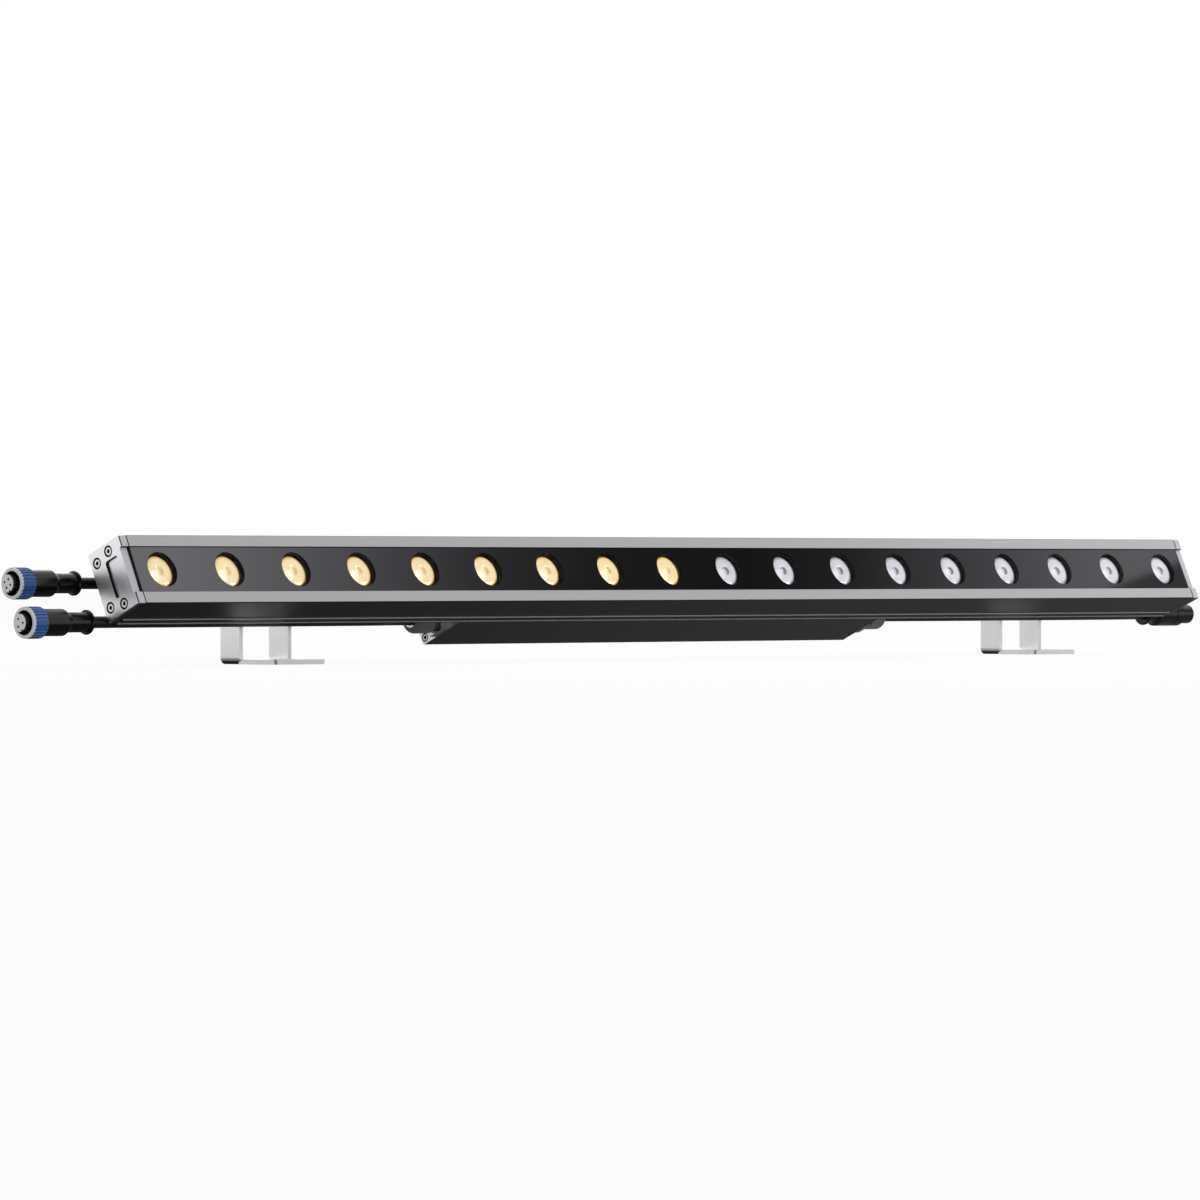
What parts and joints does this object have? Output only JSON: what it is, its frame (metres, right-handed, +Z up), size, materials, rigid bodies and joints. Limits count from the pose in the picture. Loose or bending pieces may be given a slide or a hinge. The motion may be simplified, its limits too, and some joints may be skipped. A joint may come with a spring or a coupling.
{
  "type": "linear architectural light",
  "caption": "Outdoor linear LED wall washer: aluminium housing with a glazed row of lenses, rear driver box, sliding and tilting feet, and leads with moulded plugs and sockets.",
  "frame": {"origin": "centre of the floor fixing holes of both brackets, on the underside of their feet", "axes": "+X along the light to the end with the sockets, +Y away from the lit side, +Z up from the floor the brackets stand on"},
  "size_m": [1.0984, 0.08, 0.0789],
  "materials": {
    "dark_aluminium": "dark anodised, bare and satin on the front strips",
    "cap_aluminium": "brushed",
    "front_glass": "polished, clear",
    "black_print": "printed gloss black",
    "white_board": "white solder mask",
    "warm_chip": "deep yellow phosphor under a clear dome",
    "cool_chip": "pale yellow phosphor under a clear dome",
    "warm_lens": "clear acrylic that shows the warm chip",
    "cool_lens": "clear acrylic that shows the cool chip",
    "black_plastic": "moulded matte black",
    "steel": "stainless",
    "red_wire": "insulation",
    "black_rubber": "matte",
    "green_board": "green solder mask",
    "transformer": "taped core",
    "capacitor": "sleeved can",
    "nickel": "nickel-plated brass",
    "lead_black": "smooth cable sheath",
    "connector_black": "moulded, slight sheen",
    "insert_grey": "light grey moulding",
    "nut_blue": "navy blue moulding with a light grey front ring",
    "pin_brass": "gold plated",
    "cast_aluminium": "fine blasted",
    "bracket_steel": "satin stainless",
    "friction_grey": "friction washer"
  },
  "bodies": {
    "head": {"housing": "dark_aluminium", "front_glass": "front_glass", "glass_gasket": "black_rubber", "window_mask": "black_print", "led_board": "white_board", "warm_leds": "warm_chip", "cool_leds": "cool_chip", "lens_holders": "black_plastic", "warm_lenses": "warm_lens", "cool_lenses": "cool_lens", "board_screws": "steel", "board_wires": "red_wire", "wire_grommet": "black_rubber", "end_cap_left": "cap_aluminium", "end_cap_right": "cap_aluminium", "end_cap_gaskets": "black_rubber", "end_cap_screws": "steel", "driver_case": "dark_aluminium", "driver_end_plate_left": "cap_aluminium", "driver_end_plate_right": "cap_aluminium", "driver_gaskets": "black_rubber", "driver_end_screws": "steel", "driver_board": "green_board", "driver_transformer": "transformer", "driver_capacitors": "capacitor", "driver_tee_bolts": "steel", "driver_tee_nuts": "steel", "gland_bodies": "nickel", "gland_nuts": "nickel", "gland_seals": "black_rubber", "power_in_lead": "lead_black", "data_in_lead": "lead_black", "power_out_lead": "lead_black", "data_out_lead": "lead_black", "power_in_plug": "connector_black", "power_in_insert": "insert_grey", "data_in_plug": "connector_black", "data_in_insert": "insert_grey", "power_out_socket": "connector_black", "power_out_pins": "pin_brass", "data_out_socket": "connector_black", "data_out_pins": "pin_brass", "lead_clips": "black_plastic"},
    "slider_left": {"knuckle_left": "cast_aluminium", "channel_nut_left": "steel", "knuckle_screws_left": "steel"},
    "slider_right": {"knuckle_right": "cast_aluminium", "channel_nut_right": "steel", "knuckle_screws_right": "steel"},
    "stand_left": {"bracket_left": "bracket_steel", "pivot_bolt_left": "steel", "pivot_nut_left": "steel", "pivot_washers_left": "friction_grey"},
    "stand_right": {"bracket_right": "bracket_steel", "pivot_bolt_right": "steel", "pivot_nut_right": "steel", "pivot_washers_right": "friction_grey"},
    "power_nut": {"power_in_nut": "nut_blue"},
    "data_nut": {"data_in_nut": "nut_blue"}
  },
  "joints": [
    {"name": "slide_left", "type": "slide", "parent": "head", "child": "slider_left", "axis": [-1, 0, 0], "range_m": [-0.035, 0.045]},
    {"name": "slide_right", "type": "slide", "parent": "head", "child": "slider_right", "axis": [1, 0, 0], "range_m": [-0.035, 0.045]},
    {"name": "tilt_left", "type": "hinge", "parent": "slider_left", "child": "stand_left", "pos_m": [-0.357, 0.0236, 0.0368], "axis": [1, 0, 0], "range_deg": [-22.3, 65.7]},
    {"name": "tilt_right", "type": "hinge", "parent": "slider_right", "child": "stand_right", "pos_m": [0.357, 0.0236, 0.0368], "axis": [1, 0, 0], "range_deg": [-22.3, 65.7]},
    {"name": "power_nut_turn", "type": "hinge", "parent": "head", "child": "power_nut", "pos_m": [-0.5568, 0.00556, 0.02662], "axis": [1, 0, 0], "continuous": true},
    {"name": "data_nut_turn", "type": "hinge", "parent": "head", "child": "data_nut", "pos_m": [-0.5468, 0.028, 0.04995], "axis": [1, 0, 0], "continuous": true}
  ],
  "couplings": [
    {"joint": "tilt_right", "follows": "tilt_left", "ratio": 1}
  ]
}
